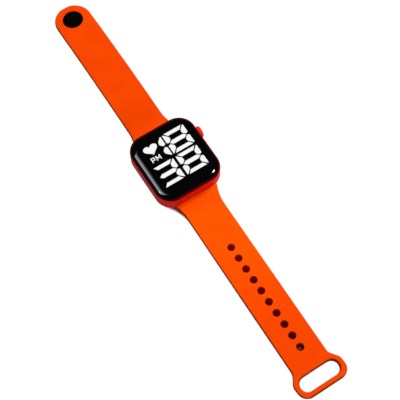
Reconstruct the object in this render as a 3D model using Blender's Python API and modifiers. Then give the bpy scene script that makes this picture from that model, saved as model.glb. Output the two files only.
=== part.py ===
"""A square digital watch with a moulded strap, laid out open, as an assembly of separate parts.

Metres. The origin is the centre of the rear cover's outer face, +X points to 3 o'clock, where the
crown is, +Y to 12 o'clock and +Z out of the dial. The watch rests on the plane z = REST_Z, on the
end of the loop and on the head of the closing stud, with the case held up between them.
"""

import math

import bmesh
import bpy

# Case
CASE_X = 0.03610
CASE_Y = 0.03960
CASE_CORNER = 0.00905
CASE_RIM_Z = 0.01120
CASE_LOWER_ROUND = 0.0040
CASE_RIM_ROUND = 0.0004
GAP = 0.0003

# Lens
LENS_X = 0.0346
LENS_Y = 0.0380
LENS_CORNER = 0.0083
LENS_TOP_Z = 0.0121
LENS_SEAT_Z = 0.0099
LENS_ROLL = 0.0022
LENS_LEDGE = 0.0011

# Rear cover and battery bay
COVER_SIDE = 0.0260
COVER_CORNER = 0.0030
COVER_THICKNESS = 0.0009
COVER_SEAT_Z = 0.0012
BAY_SIDE = 0.0248
BAY_CORNER = 0.0075
SCREW_OFFSET = 0.0113
CELL_RADIUS = 0.0100
CELL_THICKNESS = 0.0032

# Inner stack
BOARD_Z = 0.0055
BOARD_THICKNESS = 0.0008
DISPLAY_BOARD_Z = 0.0076
REFLECTOR_Z = 0.0083
REFLECTOR_TOP_Z = 0.0094

# Crown
CROWN_Y = 0.0076
CROWN_Z = 0.0071
CROWN_RADIUS = 0.0031
CROWN_END_X = 0.02035
CROWN_BORE = 0.0013
STEM_RADIUS = 0.0007
COUNTERBORE_X = 0.01725

# Straps
STRAP_WIDTH = 0.0200
STRAP_THICKNESS = 0.0020
STRAP_EDGE = 0.0005
HINGE_Y = 0.0170
HINGE_Z = 0.0023
BARREL_RADIUS = 0.0021
RECESS_RADIUS = 0.0023
ROOT_LENGTH = 0.0140
FLARE = 0.0017
FLARE_LENGTH = 0.0090
REST_Z = -0.0030
STUD_Y = 0.1028
TIP_Y = 0.1134
HUMP = 0.0013
HOLE_COUNT = 10
HOLE_RADIUS = 0.00185
FIRST_HOLE_Y = 0.0510
HOLE_PITCH = 0.00649
LOOP_END_Y = 0.1324
LOOP_WIDTH = 0.0262
LOOP_CORNER = 0.0060
SLOT_X = 0.0212
SLOT_NEAR_Y = 0.1217
SLOT_FAR_Y = 0.1294
CAP_RADIUS = 0.0053
BOSS_RADIUS = 0.0016
FLANGE_RADIUS = 0.0026
NECK_LENGTH = 0.0021
NECK_WIDENS_Y = 0.1172
NECK_WIDENING = 0.0058

# Display: the centre of each digit, and half the height and width of a segment's loop
DIGIT_CENTRES = ((-0.0062, 0.0081), (0.0069, 0.0081), (-0.0067, -0.0051), (0.0067, -0.0051))
DIGIT_HALF_X = 0.0052
DIGIT_HALF_Y = 0.0058
SEGMENT_WIDTH = 0.0014

RED = (0.60, 0.012, 0.010)
ORANGE = (1.0, 0.07, 0.002)
BLACK = (0.004, 0.004, 0.005)
STEEL = (0.60, 0.61, 0.62)
WHITE = (0.85, 0.85, 0.85)
GREEN = (0.02, 0.16, 0.06)


def clear_scene():
    for obj in list(bpy.data.objects):
        bpy.data.objects.remove(obj)


def new_collection(name):
    made = bpy.data.collections.new(name)
    bpy.context.scene.collection.children.link(made)
    return made


clear_scene()
WATCH = new_collection("digital_watch")
CUTTERS = new_collection("cutters")


def material(name, colour, roughness, metallic=0.0):
    """One Principled material, made once and found by its name after that."""
    made = bpy.data.materials.get(name)
    if made is None:
        made = bpy.data.materials.new(name)
        made.use_nodes = True
        shader = made.node_tree.nodes["Principled BSDF"]
        shader.inputs["Base Color"].default_value = (*colour, 1.0)
        shader.inputs["Roughness"].default_value = roughness
        shader.inputs["Metallic"].default_value = metallic
    return made


def add_object(name, mesh, collection=None):
    obj = bpy.data.objects.new(name, mesh)
    (collection or WATCH).objects.link(obj)
    return obj


def as_cutter(obj):
    obj.hide_render = True
    obj.display_type = "WIRE"
    return obj


def mesh_from(bm, name):
    bmesh.ops.recalc_face_normals(bm, faces=bm.faces)
    mesh = bpy.data.meshes.new(name)
    bm.to_mesh(mesh)
    bm.free()
    return mesh


def smooth(obj, degrees=35):
    obj.data.shade_smooth()
    obj.data.set_sharp_from_angle(angle=math.radians(degrees))
    return obj


def rounded_outline(half_x, half_y, corner, steps=6):
    """The corner points of a rectangle with round corners, anticlockwise."""
    points = []
    for turn, (sx, sy) in enumerate(((1, 1), (-1, 1), (-1, -1), (1, -1))):
        for step in range(steps + 1):
            angle = math.pi / 2 * (turn + step / steps)
            x = sx * (half_x - corner) + corner * math.cos(angle)
            y = sy * (half_y - corner) + corner * math.sin(angle)
            points.append((x, y))
    return points


def slab(name, outline, low, high, low_round=0.0, high_round=0.0, segments=3, cutter=False):
    """A flat outline raised from low to high, with a Bevel on its lower and upper rims."""
    bm = bmesh.new()
    face = bm.faces.new([bm.verts.new((x, y, low)) for x, y in outline])
    raised = bmesh.ops.extrude_face_region(bm, geom=[face])
    upper = [item for item in raised["geom"] if isinstance(item, bmesh.types.BMVert)]
    bmesh.ops.translate(bm, verts=upper, vec=(0.0, 0.0, high - low))
    widest = max(low_round, high_round)
    if widest:
        weight = bm.edges.layers.float.new("bevel_weight_edge")
        for edge in bm.edges:
            heights = {round(vert.co.z, 7) for vert in edge.verts}
            if heights == {round(low, 7)}:
                edge[weight] = low_round / widest
            elif heights == {round(high, 7)}:
                edge[weight] = high_round / widest
    obj = add_object(name, mesh_from(bm, name), CUTTERS if cutter else None)
    if widest:
        bevel = obj.modifiers.new("rounded rims", "BEVEL")
        bevel.width = widest
        bevel.segments = segments
        bevel.limit_method = "WEIGHT"
    return as_cutter(obj) if cutter else smooth(obj)


def turned(name, profile, location=(0.0, 0.0, 0.0), along_x=False, steps=20, cutter=False):
    """A profile of (radius, height) points, top to bottom, turned about Z or laid along +X."""
    bm = bmesh.new()
    points = [bm.verts.new((radius, 0.0, height)) for radius, height in profile]
    for one, other in zip(points, points[1:]):
        bm.edges.new((one, other))
    mesh = bpy.data.meshes.new(name)
    bm.to_mesh(mesh)
    bm.free()
    obj = add_object(name, mesh, CUTTERS if cutter else None)
    screw = obj.modifiers.new("turned", "SCREW")
    screw.steps = steps
    screw.render_steps = steps
    screw.use_merge_vertices = True
    screw.merge_threshold = 0.00001
    screw.use_smooth_shade = False
    obj.location = location
    if along_x:
        obj.rotation_euler = (0.0, math.pi / 2, 0.0)
    return as_cutter(obj) if cutter else obj


def rod_profile(radius, low, high):
    return [(0.0, high), (radius, high), (radius, low), (0.0, low)]


def ring_profile(inner, outer, low, high):
    return [(inner, high), (outer, high), (outer, low), (inner, low), (inner, high)]


def boolean(obj, cutter, operation="DIFFERENCE"):
    modifier = obj.modifiers.new(cutter.name, "BOOLEAN")
    modifier.operation = operation
    modifier.object = cutter


def finish(obj, name_of_material, colour, roughness, metallic=0.0):
    obj.data.materials.append(material(name_of_material, colour, roughness, metallic))
    return obj


def case_body():
    """The red shell: a lens seat above, a battery bay below, and a strap recess at each end."""
    case = slab(
        "case_body",
        rounded_outline(CASE_X / 2, CASE_Y / 2, CASE_CORNER, 7),
        0.0,
        CASE_RIM_Z,
        CASE_LOWER_ROUND,
        CASE_RIM_ROUND,
        segments=4,
    )
    seat = rounded_outline(LENS_X / 2 + 0.00012, LENS_Y / 2 + 0.00012, LENS_CORNER, 7)
    cavity_x = LENS_X / 2 - LENS_LEDGE
    cavity_y = LENS_Y / 2 - LENS_LEDGE
    cavity = rounded_outline(cavity_x, cavity_y, LENS_CORNER - LENS_LEDGE, 6)
    bay = rounded_outline(BAY_SIDE / 2, BAY_SIDE / 2, BAY_CORNER)
    opening = rounded_outline(COVER_SIDE / 2 + 0.00015, COVER_SIDE / 2 + 0.00015, COVER_CORNER, 4)
    below = -0.001
    cuts = [
        slab("cut_lens_seat", seat, LENS_SEAT_Z - 0.0003, CASE_RIM_Z + 0.001, cutter=True),
        slab("cut_display_cavity", cavity, BOARD_Z - 0.0001, CASE_RIM_Z, cutter=True),
        slab("cut_battery_bay", bay, below, BOARD_Z + 0.001, cutter=True),
        slab("cut_cover_opening", opening, below, COVER_SEAT_Z, cutter=True),
    ]
    bore = rod_profile(CROWN_BORE, 0.0150, 0.0200)
    counterbore = rod_profile(CROWN_RADIUS + 0.00025, COUNTERBORE_X, 0.0200)
    cuts.append(turned("cut_crown_bore", bore, crown_place(), True, cutter=True))
    cuts.append(turned("cut_crown_counterbore", counterbore, crown_place(), True, cutter=True))
    for end, side in (("upper", 1), ("lower", -1)):
        cuts.append(strap_recess_cutter(f"cut_{end}_recess", side))
        place = (0.0, side * HINGE_Y, HINGE_Z)
        bar_bore = rod_profile(0.0006, -0.0134, 0.0134)
        cuts.append(turned(f"cut_{end}_bar_bore", bar_bore, place, True, steps=12, cutter=True))
    for index, (x, y) in enumerate(screw_places()):
        bore = rod_profile(0.00075, 0.0008, 0.0044)
        cuts.append(turned(f"cut_case_screw_{index + 1}", bore, (x, y, 0.0), steps=12, cutter=True))
    for cutter in cuts:
        boolean(case, cutter)
    return finish(case, "red gloss plastic", RED, 0.18)


def strap_recess_cutter(name, side):
    """The space that a strap's barrel turns in, as a side outline drawn across the case."""
    outline = [(-0.001, HINGE_Y - RECESS_RADIUS)]
    for step in range(7):
        angle = math.pi / 12 * step
        reach = HINGE_Y - RECESS_RADIUS * math.cos(angle)
        outline.append((HINGE_Z + RECESS_RADIUS * math.sin(angle), reach))
    outline += [(HINGE_Z + RECESS_RADIUS, 0.0220), (-0.001, 0.0220)]
    half = STRAP_WIDTH / 2 + FLARE + GAP
    cutter = slab(name, [(-z, side * y) for z, y in outline], -half, half, cutter=True)
    cutter.rotation_euler = (0.0, math.pi / 2, 0.0)
    return cutter


def crown_place():
    return (0.0, CROWN_Y, CROWN_Z)


def screw_places():
    return [(sx * SCREW_OFFSET, sy * SCREW_OFFSET) for sx in (1, -1) for sy in (1, -1)]


def lens():
    """The black window: flat on top, and rolled down to the case's rim all round."""
    sections = [(0.0, LENS_SEAT_Z + 0.00005), (0.0, CASE_RIM_Z)]
    for step in range(1, 7):
        angle = math.pi / 2 * step / 6
        inset = LENS_ROLL * (1 - math.cos(angle))
        sections.append((inset, CASE_RIM_Z + (LENS_TOP_Z - CASE_RIM_Z) * math.sin(angle)))
    bm = bmesh.new()
    rings = []
    for inset, z in sections:
        outline = rounded_outline(LENS_X / 2 - inset, LENS_Y / 2 - inset, LENS_CORNER - inset, 7)
        rings.append([bm.verts.new((x, y, z)) for x, y in outline])
    join_rings(bm, rings)
    obj = smooth(add_object("lens", mesh_from(bm, "lens")), 50)
    return finish(obj, "black gloss acrylic", BLACK, 0.05)


def join_rings(bm, rings):
    """Skins a row of rings of points that all have the same count, and caps both ends."""
    for one, other in zip(rings, rings[1:]):
        for index in range(len(one)):
            after = (index + 1) % len(one)
            bm.faces.new((one[index], one[after], other[after], other[index]))
    bm.faces.new(rings[0])
    bm.faces.new(rings[-1])


def framed(name, outer, inner, low, high, segments=1):
    """A flat frame: the outer outline with the inner one cut right through."""
    frame = slab(name, outer, low, high, segments=segments)
    boolean(frame, slab(f"cut_{name}", inner, low - 0.001, high + 0.001, cutter=True))
    return frame


def lens_gasket():
    """The adhesive frame that holds the lens on its ledge."""
    inset = 0.0009
    outer = rounded_outline(LENS_X / 2 - GAP / 2, LENS_Y / 2 - GAP / 2, LENS_CORNER, 6)
    inner = rounded_outline(LENS_X / 2 - inset, LENS_Y / 2 - inset, LENS_CORNER - inset, 6)
    obj = framed("lens_gasket", outer, inner, LENS_SEAT_Z - 0.00025, LENS_SEAT_Z)
    return finish(obj, "black foam tape", BLACK, 0.9)


def segment_outlines(centre):
    """The seven windows of one digit, as flat outlines: three across and four upright."""
    cx, cy = centre
    w = SEGMENT_WIDTH / 2
    long = DIGIT_HALF_X - SEGMENT_WIDTH * 0.6
    short = DIGIT_HALF_Y / 2 - SEGMENT_WIDTH * 0.55
    across = ((-long, 0), (-long + w, -w), (long - w, -w), (long, 0), (long - w, w), (-long + w, w))
    inner = short - w
    upright = ((0, -short), (w, -inner), (w, inner), (0, short), (-w, inner), (-w, -inner))
    outlines = []
    for y in (DIGIT_HALF_Y, 0.0, -DIGIT_HALF_Y):
        outlines.append([(cx + px, cy + y + py) for px, py in across])
    for x in (-DIGIT_HALF_X, DIGIT_HALF_X):
        for y in (DIGIT_HALF_Y / 2, -DIGIT_HALF_Y / 2):
            outlines.append([(cx + x + px, cy + y + py) for px, py in upright])
    return outlines


def display_reflector():
    """The white block in front of the light board, with a window for each segment."""
    outline = rounded_outline(0.0133, 0.0158, 0.0010, 2)
    reflector = slab("display_reflector", outline, REFLECTOR_Z, REFLECTOR_TOP_Z)
    bm = bmesh.new()
    for centre in DIGIT_CENTRES:
        for window in segment_outlines(centre):
            face = bm.faces.new([bm.verts.new((x, y, REFLECTOR_Z - 0.0005)) for x, y in window])
            raised = bmesh.ops.extrude_face_region(bm, geom=[face])
            upper = [item for item in raised["geom"] if isinstance(item, bmesh.types.BMVert)]
            bmesh.ops.translate(bm, verts=upper, vec=(0.0, 0.0, 0.0025))
    windows = as_cutter(add_object("cut_segments", mesh_from(bm, "cut_segments"), CUTTERS))
    boolean(reflector, windows)
    return finish(reflector, "white plastic", WHITE, 0.5)


def electronics():
    """The boards, the chip, the crystal and the switch that the crown's stem works."""
    board = slab(
        "main_board",
        rounded_outline(0.0146, 0.0165, 0.0060, 4),
        BOARD_Z,
        BOARD_Z + BOARD_THICKNESS,
    )
    finish(board, "green circuit board", GREEN, 0.4)
    display = slab(
        "display_board",
        rounded_outline(0.0131, 0.0155, 0.0008, 2),
        DISPLAY_BOARD_Z,
        REFLECTOR_Z - 0.0001,
    )
    finish(display, "green circuit board", GREEN, 0.4)
    diffuser = slab(
        "diffuser_film",
        rounded_outline(0.0133, 0.0158, 0.0010, 2),
        REFLECTOR_TOP_Z + 0.0001,
        LENS_SEAT_Z - 0.00005,
    )
    finish(diffuser, "white diffuser film", WHITE, 0.7)
    parts_z = BOARD_Z + BOARD_THICKNESS + 0.00005
    chip_outline = rounded_outline(0.0025, 0.0025, 0.0003, 1)
    chip = slab("controller_chip", chip_outline, parts_z, parts_z + 0.0010)
    chip.location = (-0.004, 0.003, 0.0)
    finish(chip, "black resin", BLACK, 0.5)
    can = rod_profile(0.00055, -0.0030, 0.0030)
    crystal = turned("quartz_crystal", can, (-0.004, -0.0075, parts_z + 0.0006), True, 12)
    finish(crystal, "steel", STEEL, 0.25, 1.0)
    switch = slab("push_switch", rounded_outline(0.0016, 0.0023, 0.0003, 1), parts_z, 0.00755)
    switch.location = (0.0114, CROWN_Y, 0.0)
    well = rod_profile(0.00045, 0.0122, 0.0140)
    boolean(switch, turned("cut_plunger_well", well, crown_place(), True, 12, cutter=True))
    finish(switch, "black resin", BLACK, 0.5)
    plunger_profile = rod_profile(0.00035, 0.0128, 0.0139)
    plunger = turned("switch_plunger", plunger_profile, crown_place(), True, 12)
    finish(plunger, "black resin", BLACK, 0.5)


def battery():
    """The coin cell, the steel strap under it and the arched contact leaf above it."""
    edge = 0.0003
    low = 0.00125
    high = low + CELL_THICKNESS
    profile = [
        (0.0, high),
        (CELL_RADIUS - 0.0012, high),
        (CELL_RADIUS - edge, high - 0.0004),
        (CELL_RADIUS, high - 0.0008),
        (CELL_RADIUS, low + edge),
        (CELL_RADIUS - edge, low),
        (0.0, low),
    ]
    cell = turned("coin_cell", profile, steps=28)
    finish(cell, "steel", STEEL, 0.25, 1.0)
    wide = 0.0025
    under = 0.00100
    bent = [
        (-0.0050, under),
        (CELL_RADIUS + 0.0007, under),
        (CELL_RADIUS + 0.0007, 0.0053),
        (CELL_RADIUS + 0.0005, 0.0053),
        (CELL_RADIUS + 0.0005, under + 0.0002),
        (-0.0050, under + 0.0002),
    ]
    clip = slab("battery_clip", bent, -wide, wide)
    clip.rotation_euler = (math.pi / 2, 0.0, 0.0)
    finish(clip, "steel", STEEL, 0.25, 1.0)
    arch = [(-0.0050 + 0.001 * step, 0.0) for step in range(11)]
    rise = [0.00052 * math.sin(math.pi * step / 10) for step in range(11)]
    base = high + 0.0001
    lower = [(x, base + lift) for (x, _), lift in zip(arch, rise)]
    upper = [(x, base + 0.0002 + lift) for (x, _), lift in zip(arch, rise)]
    leaf = slab("battery_contact", lower + upper[::-1], -0.0015, 0.0015)
    leaf.rotation_euler = (math.pi / 2, 0.0, 0.0)
    finish(leaf, "steel", STEEL, 0.25, 1.0)


def rear_cover():
    """The cover plate with its corner screws, and the cord gasket that it presses."""
    half = COVER_SIDE / 2
    cover = slab(
        "rear_cover",
        rounded_outline(half, half, COVER_CORNER, 4),
        0.0,
        COVER_THICKNESS,
        0.0003,
        segments=2,
    )
    head = [(0.0, 0.00055), (0.0014, 0.00055), (0.0014, -0.001), (0.0, -0.001)]
    for index, (x, y) in enumerate(screw_places()):
        place = (x, y, 0.0)
        seat = turned(f"cut_cover_seat_{index + 1}", head, place, steps=14, cutter=True)
        hole = rod_profile(0.00075, -0.001, 0.002)
        boolean(cover, seat)
        boolean(cover, turned(f"cut_cover_hole_{index + 1}", hole, place, steps=12, cutter=True))
        screw(f"cover_screw_{index + 1}", place)
    finish(cover, "red gloss plastic", RED, 0.3)
    path = rounded_outline(half - 0.00025, half - 0.00025, 0.0074, 6)
    finish(tube("cover_gasket", path, 0.00012, COVER_SEAT_Z - 0.00014), "black rubber", BLACK, 0.8)


def screw(name, place):
    """A small countersunk-seat screw with a cross slot in its head."""
    profile = [
        (0.0, 0.0042),
        (0.00055, 0.0040),
        (0.00055, 0.00048),
        (0.00125, 0.00044),
        (0.00125, 0.0001),
        (0.0, 0.0001),
    ]
    obj = turned(name, profile, place, steps=14)
    for index, (x, y) in enumerate(((0.0009, 0.00016), (0.00016, 0.0009))):
        outline = [(-x, -y), (x, -y), (x, y), (-x, y)]
        slot = slab(f"cut_{name}_{index + 1}", outline, -0.001, 0.00032, cutter=True)
        slot.location = place
        boolean(obj, slot)
    return finish(obj, "steel", STEEL, 0.25, 1.0)


def tube(name, path, radius, z):
    """A closed cord of round section that follows a flat path."""
    curve = bpy.data.curves.new(name, "CURVE")
    curve.dimensions = "3D"
    curve.bevel_depth = radius
    curve.bevel_resolution = 1
    spline = curve.splines.new("POLY")
    spline.points.add(len(path) - 1)
    for point, (x, y) in zip(spline.points, path):
        point.co = (x, y, z, 1.0)
    spline.use_cyclic_u = True
    return add_object(name, curve)


def crown():
    """The push crown: cap, stem, seal, retaining clip and return spring, all on one axis."""
    edge = 0.0007
    end = CROWN_END_X
    skirt = COUNTERBORE_X + 0.0006
    floor = 0.0191
    groove = 0.01955
    socket = floor + 0.0006
    hollow = CROWN_RADIUS - 0.0008
    profile = [
        (0.0, end),
        (CROWN_RADIUS - edge, end - 0.0001),
        (CROWN_RADIUS - edge * 0.3, end - edge * 0.35),
        (CROWN_RADIUS, end - edge),
        (CROWN_RADIUS, groove),
        (CROWN_RADIUS - 0.0002, groove - 0.0001),
        (CROWN_RADIUS - 0.0002, groove - 0.0003),
        (CROWN_RADIUS, groove - 0.0004),
        (CROWN_RADIUS, skirt),
        (hollow, skirt),
        (hollow, floor),
        (STEM_RADIUS + 0.0001, floor),
        (STEM_RADIUS + 0.0001, socket),
        (0.0, socket),
    ]
    cap = turned("crown_cap", profile, crown_place(), True, steps=24)
    finish(cap, "red gloss plastic", RED, 0.18)
    stem_profile = rod_profile(STEM_RADIUS, 0.0140, floor + 0.0005)
    stem = turned("crown_stem", stem_profile, crown_place(), True, 14)
    finish(stem, "steel", STEEL, 0.25, 1.0)
    clip = ring_profile(STEM_RADIUS + 0.00005, 0.0016, 0.01565, 0.01590)
    finish(turned("crown_clip", clip, crown_place(), True, 14), "steel", STEEL, 0.25, 1.0)
    seal = [
        (0.0010 + 0.00026 * math.sin(angle), 0.01695 + 0.00026 * math.cos(angle))
        for angle in (math.pi / 4 * step for step in range(9))
    ]
    finish(turned("crown_seal", seal, crown_place(), True, 16), "black rubber", BLACK, 0.8)
    finish(crown_spring(COUNTERBORE_X + 0.0002, floor - 0.0002), "steel", STEEL, 0.25, 1.0)


def crown_spring(low, high):
    """A coil spring round the stem, between the counterbore's floor and the cap."""
    turns = 3.5
    wire = 0.00013
    steps = 42
    curve = bpy.data.curves.new("crown_spring", "CURVE")
    curve.dimensions = "3D"
    curve.bevel_depth = wire
    curve.bevel_resolution = 1
    curve.use_fill_caps = True
    spline = curve.splines.new("POLY")
    spline.points.add(steps)
    for index, point in enumerate(spline.points):
        share = index / steps
        angle = 2 * math.pi * turns * share
        x = low + wire + (high - low - 2 * wire) * share
        y = CROWN_Y + 0.0016 * math.cos(angle)
        point.co = (x, y, CROWN_Z + 0.0016 * math.sin(angle), 1.0)
    return add_object("crown_spring", curve)


def ease(share):
    """0 below 0 and 1 above 1, with a level start and end between them."""
    share = min(1.0, max(0.0, share))
    return share * share * (3 - 2 * share)


def root_half_width(distance):
    """Half the strap's width near the case, where it flares out to meet it."""
    left = 1 - (distance - CASE_Y / 2) / FLARE_LENGTH
    return STRAP_WIDTH / 2 + FLARE * min(1.0, max(0.0, left)) ** 2


def stud_half_width(distance):
    radius = STRAP_WIDTH / 2
    past = distance - (TIP_Y - radius)
    if past > 0:
        return math.sqrt(max(radius**2 - past**2, 0.0))
    return root_half_width(distance)


def loop_half_width(distance):
    """Half the width of the strap that carries the loop, which widens and ends in round corners."""
    widening = ease((distance - NECK_WIDENS_Y) / NECK_WIDENING)
    half = root_half_width(distance) + (LOOP_WIDTH - STRAP_WIDTH) / 2 * widening
    past = distance - (LOOP_END_Y - LOOP_CORNER)
    if past > 0:
        return half - LOOP_CORNER + math.sqrt(max(LOOP_CORNER**2 - past**2, 0.0))
    return half


def stud_underside(distance):
    """Height of the stud strap's underside: a low hump that comes down onto the stud's head."""
    share = max(0.0, (distance - CASE_Y / 2) / (STUD_Y - CASE_Y / 2))
    return HINGE_Z - BARREL_RADIUS - 0.0003 * share + 4 * HUMP * share * (1 - share)


def loop_underside(distance):
    """Height of the hole strap's underside: a straight slope down to the loop's end."""
    root = HINGE_Z - BARREL_RADIUS
    share = (distance - HINGE_Y) / (LOOP_END_Y - HINGE_Y)
    return root + (REST_Z - root) * share


def strap_section(distance, half_width, underside):
    """(x, z) points round the strap at one distance from the case's centre, edges rounded."""
    before = HINGE_Y - distance
    if before > 0:
        reach = math.sqrt(max(BARREL_RADIUS**2 - before**2, 0.0))
        low = HINGE_Z - reach
        high = HINGE_Z + reach
    else:
        low = underside(distance)
        extra = 2 * BARREL_RADIUS - STRAP_THICKNESS
        high = low + STRAP_THICKNESS + extra * (1 - ease(-before / ROOT_LENGTH))
    edge = min(STRAP_EDGE, (high - low) * 0.3)
    half = half_width(distance)
    side = min(edge, half * 0.5)
    slant = 0.3
    right = [
        (half - side, low),
        (half - side * slant, low + edge * slant),
        (half, low + edge),
        (half, high - edge),
        (half - side * slant, high - edge * slant),
        (half - side, high),
    ]
    return right + [(-x, z) for x, z in reversed(right)]


def strap(name, sign, stations, half_width, underside):
    """A strap skinned over its sections; sign is +1 towards 12 o'clock and -1 towards 6."""
    bm = bmesh.new()
    rings = []
    for distance in stations:
        section = strap_section(distance, half_width, underside)
        rings.append([bm.verts.new((x, sign * distance, z)) for x, z in section])
    join_rings(bm, rings)
    obj = smooth(add_object(name, mesh_from(bm, name)), 40)
    bore = turned(
        f"cut_{name}_bore",
        rod_profile(0.0010, -0.0130, 0.0130),
        (0.0, sign * HINGE_Y, HINGE_Z),
        True,
        steps=14,
        cutter=True,
    )
    boolean(obj, bore)
    return finish(obj, "orange silicone", ORANGE, 0.55)


def arc_stations(start, end, count):
    """Stations that crowd towards the end, as the points of a quarter circle do."""
    shares = [math.sin(math.pi / 2 * step / count) for step in range(1, count + 1)]
    return [start + (end - start) * share for share in shares]


def even_stations(start, end, count):
    return [start + (end - start) * step / count for step in range(1, count + 1)]


def root_stations():
    """Stations from the barrel's inner side to the end of the flare."""
    nose = HINGE_Y - BARREL_RADIUS
    barrel = [HINGE_Y - BARREL_RADIUS * math.cos(math.pi / 2 * step / 5) for step in range(1, 6)]
    return [nose + 0.00005] + barrel + even_stations(HINGE_Y, CASE_Y / 2 + FLARE_LENGTH, 9)


def stud_strap():
    flat_end = TIP_Y - STRAP_WIDTH / 2
    stations = root_stations() + even_stations(CASE_Y / 2 + FLARE_LENGTH, flat_end, 12)
    stations += arc_stations(flat_end, TIP_Y - 0.00005, 8)
    obj = strap("stud_strap", 1, stations, stud_half_width, stud_underside)
    hole = rod_profile(BOSS_RADIUS + 0.0002, -0.006, 0.006)
    seat = rod_profile(FLANGE_RADIUS + 0.0003, -0.006, 0.0006)
    for name, profile in (("cut_stud_hole", hole), ("cut_stud_seat", seat)):
        cutter = turned(name, profile, stud_place(), steps=16, cutter=True)
        cutter.rotation_euler = (stud_tilt(), 0.0, 0.0)
        boolean(obj, cutter)
    return obj


def hole_strap():
    corner = LOOP_END_Y - LOOP_CORNER
    stations = root_stations() + even_stations(CASE_Y / 2 + FLARE_LENGTH, NECK_WIDENS_Y, 10)
    stations += even_stations(NECK_WIDENS_Y, NECK_WIDENS_Y + NECK_WIDENING, 6)
    stations += [corner] + arc_stations(corner, LOOP_END_Y - 0.00005, 6)
    obj = strap("hole_strap", -1, stations, loop_half_width, loop_underside)
    for index in range(HOLE_COUNT):
        place = (0.0, -(FIRST_HOLE_Y + HOLE_PITCH * index), 0.0)
        hole = rod_profile(HOLE_RADIUS, -0.006, 0.006)
        boolean(obj, turned(f"cut_hole_{index + 1}", hole, place, steps=16, cutter=True))
    half_y = (SLOT_FAR_Y - SLOT_NEAR_Y) / 2
    outline = rounded_outline(SLOT_X / 2, half_y, half_y - 0.0001, 5)
    slot = slab("cut_loop_slot", outline, -0.006, 0.003, cutter=True)
    slot.location.y = -(SLOT_NEAR_Y + half_y)
    boolean(obj, slot)
    return obj


def stud_place():
    return (0.0, STUD_Y, stud_underside(STUD_Y))


def stud_tilt():
    """The strap's slope at the stud, which the stud follows."""
    step = 0.001
    rise = stud_underside(STUD_Y + step) - stud_underside(STUD_Y - step)
    return math.atan2(rise, 2 * step)


def closing_stud():
    """The closing stud: a domed cap on the outer face, riveted to a headed pin on the inner one."""
    top = STRAP_THICKNESS + 0.0001
    cap_profile = [
        (0.0, top + 0.0009),
        (CAP_RADIUS * 0.55, top + 0.00082),
        (CAP_RADIUS * 0.85, top + 0.00058),
        (CAP_RADIUS, top + 0.0002),
        (CAP_RADIUS, top),
        (BOSS_RADIUS, top),
        (BOSS_RADIUS, 0.0007),
        (0.0009, 0.0007),
        (0.0009, 0.0017),
        (0.0, 0.0017),
    ]
    cap = turned("stud_cap", cap_profile, stud_place(), steps=28)
    finish(cap, "black gloss acrylic", BLACK, 0.1)
    head = -NECK_LENGTH
    pin_profile = [
        (0.0, 0.0015),
        (0.0008, 0.0015),
        (0.0008, 0.0005),
        (FLANGE_RADIUS, 0.0004),
        (FLANGE_RADIUS, 0.0001),
        (0.0015, 0.0),
        (0.0015, head),
        (0.00215, head - 0.0002),
        (0.0018, head - 0.00055),
        (0.0009, head - 0.00075),
        (0.0, head - 0.00075),
    ]
    pin = turned("stud_pin", pin_profile, stud_place(), steps=20)
    finish(pin, "black gloss acrylic", BLACK, 0.1)
    for obj in (cap, pin):
        obj.rotation_euler = (stud_tilt(), 0.0, 0.0)


def spring_bars():
    """The pins that the straps turn on, thinner at the ends that sit in the case."""
    profile = [
        (0.0, 0.0131),
        (0.00045, 0.0131),
        (0.00045, 0.0116),
        (0.00075, 0.0115),
        (0.00075, -0.0115),
        (0.00045, -0.0116),
        (0.00045, -0.0131),
        (0.0, -0.0131),
    ]
    for end, side in (("upper", 1), ("lower", -1)):
        place = (0.0, side * HINGE_Y, HINGE_Z)
        bar = turned(f"{end}_spring_bar", profile, place, True, steps=14)
        finish(bar, "steel", STEEL, 0.25, 1.0)


case_body()
lens()
lens_gasket()
display_reflector()
electronics()
battery()
rear_cover()
crown()
stud_strap()
hole_strap()
closing_stud()
spring_bars()
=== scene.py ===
"""The looks of a square digital watch with a moulded strap, laid out open on a pale table.

Metres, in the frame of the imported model: +X to 3 o'clock, +Y to 12 o'clock and +Z out of the dial.
The sections follow the watch as it is put together, from the table and the light to the last screw.
"""

import math

import bmesh
import bpy
from mathutils import Matrix, Vector


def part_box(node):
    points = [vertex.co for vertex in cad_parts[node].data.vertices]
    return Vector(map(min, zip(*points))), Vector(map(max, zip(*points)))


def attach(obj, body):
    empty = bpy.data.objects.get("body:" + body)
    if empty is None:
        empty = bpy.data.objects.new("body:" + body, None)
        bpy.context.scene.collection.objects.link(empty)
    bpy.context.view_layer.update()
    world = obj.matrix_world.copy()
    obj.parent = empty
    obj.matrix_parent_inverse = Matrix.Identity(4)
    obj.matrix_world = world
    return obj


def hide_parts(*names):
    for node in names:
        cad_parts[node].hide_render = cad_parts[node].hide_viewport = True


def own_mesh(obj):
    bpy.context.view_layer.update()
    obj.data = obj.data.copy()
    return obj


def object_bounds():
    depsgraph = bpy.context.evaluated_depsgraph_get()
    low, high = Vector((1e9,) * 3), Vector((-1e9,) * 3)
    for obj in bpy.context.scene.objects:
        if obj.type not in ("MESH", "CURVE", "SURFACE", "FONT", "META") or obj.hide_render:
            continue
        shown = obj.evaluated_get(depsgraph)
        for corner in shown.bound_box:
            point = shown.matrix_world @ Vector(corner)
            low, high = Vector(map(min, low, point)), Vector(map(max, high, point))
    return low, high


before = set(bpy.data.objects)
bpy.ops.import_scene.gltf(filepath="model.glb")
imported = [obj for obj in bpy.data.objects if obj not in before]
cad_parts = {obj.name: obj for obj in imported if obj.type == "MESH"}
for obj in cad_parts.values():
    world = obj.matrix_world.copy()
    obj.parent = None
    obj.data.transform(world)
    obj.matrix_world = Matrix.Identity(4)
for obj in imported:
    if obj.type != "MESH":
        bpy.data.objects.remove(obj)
cad_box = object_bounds()


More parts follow.
